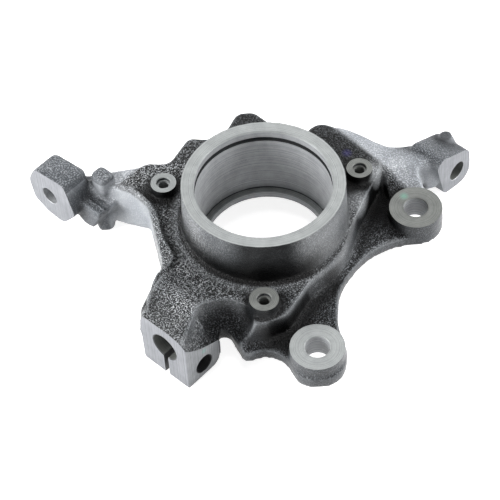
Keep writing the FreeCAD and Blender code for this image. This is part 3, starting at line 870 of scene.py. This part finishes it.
ear = opening(EAR_START, EAR_TOP, EAR_BORE, CHAMFER, EAR_CUT) + [(EAR_BORE, EAR_FOOT + CHAMFER)]
ear += [(EAR_BORE + CHAMFER, EAR_FOOT - SHY), (EAR_BORE + CHAMFER, UNDER), (0, UNDER)]
for i, (centre, finish) in enumerate(zip(EARS, (dulled_iron, turned_iron))):
    turned_cut("ear_%d" % i, finish, bored_iron, ear, centre, UP, EAR_STEPS)
print(len(cuts), "cutters round the hub")

# %% Cutters of the clamp and of both arm ends
# Name, finish, corner, size and direction of each milled face; the mill sweeps MILL mm of air beyond it.
MILL = 6
FACES = [("clamp_front", milled_iron, (-12, CLAMP_FACE, -76), (52, MILL, 56), ACROSS),
         ("clamp_side", chattered_iron, (CLAMP_SIDE, 78.6, -76), (MILL, 36, 56), DOWN),
         ("tie_face", milled_iron, (-150, TIE_FACE, -74), (52, MILL, 56), ACROSS),
         ("strut_face", milled_iron, (STRUT_FACE, -150, -84), (MILL, 52, 56), DOWN)]
SLOT = ("slot", oiled_iron, (12.95, CLAMP_FACE - SLOT_LENGTH, -76), (3.5, 36, 32), UP)
# Radii of the holes, and their depths from the face they start in; each drill starts in PIN_START mm of air.
PIN_START = 5.0
PIN_CHAMFER = 0.3
STUD = 9.25
STUD_CHAMFER = 0.6
STUD_END = -20.0
STUD_TIP = 4.6
STUD_FOOT = -23.0
PINCH = 6.5
PINCH_THREAD = 5.4
PINCH_STEP = -17.8
PINCH_END = -37.2
TIE_PIN = 6.2
STRUT_PIN = 6.8
THROUGH = -32.0

for face in FACES:
    milled_cut(*face)
stud = opening(PIN_START, 0, STUD, STUD_CHAMFER) + [(STUD, STUD_END), (STUD_TIP, STUD_FOOT), (0, STUD_FOOT)]
turned_cut("stud_hole", oiled_iron, dulled_iron, stud, STUD_HOLE, DOWN, EAR_STEPS)
milled_cut(*SLOT)
pinch = opening(PIN_START, 0, PINCH, PIN_CHAMFER) + [(PINCH, PINCH_STEP), (PINCH_THREAD, PINCH_STEP)]
pinch += [(PINCH_THREAD, PINCH_END), (0, PINCH_END)]
turned_cut("pinch_hole", oiled_iron, oiled_iron, pinch, PINCH_HOLE, ACROSS, PIN_STEPS)
tie = opening(PIN_START, 0, TIE_PIN, PIN_CHAMFER) + [(TIE_PIN, THROUGH), (0, THROUGH)]
turned_cut("tie_hole", bored_iron, bored_iron, tie, TIE_HOLE, DOWN, PIN_STEPS)
strut = opening(PIN_START, 0, STRUT_PIN, PIN_CHAMFER) + [(STRUT_PIN, THROUGH), (0, THROUGH)]
turned_cut("strut_hole", bored_iron, dulled_iron, strut, STRUT_HOLE, ACROSS, PIN_STEPS)
print(len(cuts), "cutters in all")

# %% Cut the casting
for name, (tool, *_) in cuts.items():
    shave = casting.modifiers.new(name, "BOOLEAN")
    shave.operation = "DIFFERENCE"
    shave.solver = "MANIFOLD"
    shave.object = tool
    shave.material_mode = "TRANSFER"
    applied(casting)
    bpy.data.objects.remove(tool)
print("after machining:", len(casting.data.polygons), "faces")

# %% [markdown]
# ## Tool marks and crisp edges
#
# The boolean gave every new face the material of its cutter. That name tells which tool made the face, so
# the face gets its finish and its feed coordinate: the distance from the tool's axis on a turned face, the
# depth in a bored wall, or the distance along the feed of a mill. Cut faces stay flat and meet in sharp
# edges. The cast skin gets one more number at each point: how much it bends, for the wear and painted
# highlight on its ridges and the painted shade in its hollows.


# %% Finish and feed coordinate of each cut face
# A face is square to its tool's axis, or along it, by how much of its normal lies along that axis.
SQUARE = 0.7
ALONG = 0.5


def feed_coordinate(spot, normal, feed):
    if feed[0] == "straight":
        return spot.dot(feed[1]), spot.z
    foot, axis = feed[1:]
    arm = spot - foot
    depth = arm.dot(axis)
    radius = (arm - axis * depth).length
    if abs(normal.dot(axis)) > SQUARE:
        return radius, depth
    return depth, radius


def finish_cuts(data):
    by_name = {"cut_" + name: rest for name, (_, *rest) in cuts.items()}
    old = [m.name if m else "" for m in data.materials]
    data.uv_layers.new(name="tool_feed")
    feed_map = data.uv_layers["tool_feed"].data
    kinds = []
    left = dict.fromkeys(by_name, 0)
    for face in data.polygons:
        tool = old[face.material_index]
        finish, wall, feed = by_name.get(tool, (cast_skin, cast_skin, None))
        if feed and feed[0] == "round" and abs(face.normal.dot(feed[2])) < ALONG:
            finish = wall
        kinds.append(finishes.index(finish))
        if feed is None:
            continue
        left[tool] += 1
        for corner in face.loop_indices:
            spot = data.vertices[data.loops[corner].vertex_index].co / MM
            feed_map[corner].uv = feed_coordinate(spot, face.normal, feed)
    data.materials.clear()
    for finish in finishes:
        data.materials.append(finish)
    data.polygons.foreach_set("material_index", kinds)
    print("faces that each tool left:", left)
    return kinds


kinds = finish_cuts(casting.data)
print("cut faces:", sum(1 for k in kinds if k), "of", len(kinds))

# %% Sharp edges and the bend of the skin
CRISP = math.radians(30)
CALMING_ROUNDS = 2


def crisp_edges(thing):
    """Smooth shading on the cast skin; sharp edges round the cuts and wherever cut faces meet at an angle."""
    mesh = bmesh.new()
    mesh.from_mesh(thing.data)
    for face in mesh.faces:
        face.smooth = True
    for edge in mesh.edges:
        if len(edge.link_faces) != 2:
            continue
        one, two = edge.link_faces
        cut = one.material_index or two.material_index
        if one.material_index != two.material_index or (cut and edge.calc_face_angle() > CRISP):
            edge.smooth = False
    mesh.to_mesh(thing.data)
    mesh.free()


def note_bend(thing):
    """Stores how far each skin point stands out of its neighbours: above 0 on ridges, below 0 in hollows.

    Averaging with the neighbours calms it. The cast finish reads it: ridges get wear and a painted
    highlight, hollows get painted shade.
    """
    mesh = bmesh.new()
    mesh.from_mesh(thing.data)
    mesh.verts.ensure_lookup_table()
    bends = []
    for v in mesh.verts:
        steps = [(v.co - e.other_vert(v).co).normalized() for e in v.link_edges]
        cut = any(f.material_index for f in v.link_faces)
        bends.append(0.0 if cut else sum(step.dot(v.normal) for step in steps) / len(steps))
    for _ in range(CALMING_ROUNDS):
        sums = [bends[v.index] + sum(bends[e.other_vert(v).index] for e in v.link_edges) for v in mesh.verts]
        bends = [total / (1 + len(v.link_edges)) for total, v in zip(sums, mesh.verts)]
    mesh.free()
    thing.data.attributes.new("bend", "FLOAT", "POINT").data.foreach_set("value", bends)
    ordered = sorted(bends)
    print("bend of the skin, 1 % and 99 %:", [round(ordered[int(len(ordered) * q)], 3) for q in (0.01, 0.99)])


crisp_edges(casting)
note_bend(casting)

# %% [markdown]
# ## Studio
#
# The product photograph has a white ground with hardly a shadow, and soft light from the left, the right
# and behind. Large lamps stand there, and fainter ones above and in front. The world adds a little fill.
# Floor and world are white to the camera, in mirrors and through glass, but light the part only faintly.


# %% Floor, world and lamps
GLOW = 0.85
FILL = 0.1
FLOOR_HALF = 1500 * MM
FLOOR_GAP = 0.5 * MM
# Name, place, size and power in watts of each lamp.
LAMPS = [("left_lamp", (-0.80, -0.16, 0.30), (0.5, 0.4), 14),
         ("right_lamp", (0.80, 0.0, 0.32), (0.5, 0.4), 10.5),
         ("back_lamp", (0.10, 0.75, 0.85), (0.7, 0.4), 6),
         ("front_lamp", (0.30, -0.95, 0.45), (0.4, 0.3), 2),
         ("top_lamp", (-0.10, 0.15, 1.10), (0.4, 0.4), 5)]
AIM = Vector((0, 0, -0.03))


def seen(tree):
    """1 for what the camera sees, also through a mirror or through glass, and 0 for what lights the part."""
    path = node(tree, "ShaderNodeLightPath").outputs
    rays = [path[name] for name in ("Is Camera Ray", "Is Glossy Ray", "Is Transmission Ray")]
    return joined(tree, "MAXIMUM", *rays)


def floor():
    """White paper under the part: it glows just enough to stay white, and still takes the part's shadow."""
    material, tree = new_material("white_paper")
    paper = node(tree, "ShaderNodeBsdfDiffuse", Color=linear("#CCCCCC"))
    glow = node(tree, "ShaderNodeEmission", {"Strength": joined(tree, "MULTIPLY", seen(tree), GLOW)},
                Color=linear("#FFFFFF"))
    both = node(tree, "ShaderNodeAddShader", {0: paper.outputs[0], 1: glow.outputs[0]})
    node(tree, "ShaderNodeOutputMaterial", {"Surface": both.outputs[0]})
    mesh = bmesh.new()
    bmesh.ops.create_grid(mesh, x_segments=1, y_segments=1, size=FLOOR_HALF)
    data = bpy.data.meshes.new("floor")
    mesh.to_mesh(data)
    mesh.free()
    data.transform(Matrix.Translation((0, 0, cad_box[0][2] - FLOOR_GAP)))
    data.materials.append(material)
    ground = bpy.data.objects.new("floor", data)
    scene.collection.objects.link(ground)


def world():
    made = bpy.data.worlds.new("studio")
    made.use_nodes = True
    tree = made.node_tree
    tree.nodes.clear()
    strength = node(tree, "ShaderNodeMapRange", {"Value": seen(tree)}, To_Min=FILL, To_Max=1.0)
    sky = node(tree, "ShaderNodeBackground", {"Strength": strength.outputs["Result"]},
               Color=linear("#FFFFFF"))
    node(tree, "ShaderNodeOutputWorld", {"Surface": sky.outputs[0]})
    scene.world = made


def lamp(name, place, size, power):
    data = bpy.data.lights.new(name, "AREA")
    data.shape = "RECTANGLE"
    data.size, data.size_y = size
    data.energy = power
    made = bpy.data.objects.new(name, data)
    made.location = place
    made.rotation_euler = (AIM - Vector(place)).to_track_quat("-Z", "Y").to_euler()
    scene.collection.objects.link(made)


floor()
world()
for settings in LAMPS:
    lamp(*settings)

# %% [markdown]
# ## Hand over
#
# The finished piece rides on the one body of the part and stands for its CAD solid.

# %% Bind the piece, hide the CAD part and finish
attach(casting, "root")
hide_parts("knuckle")
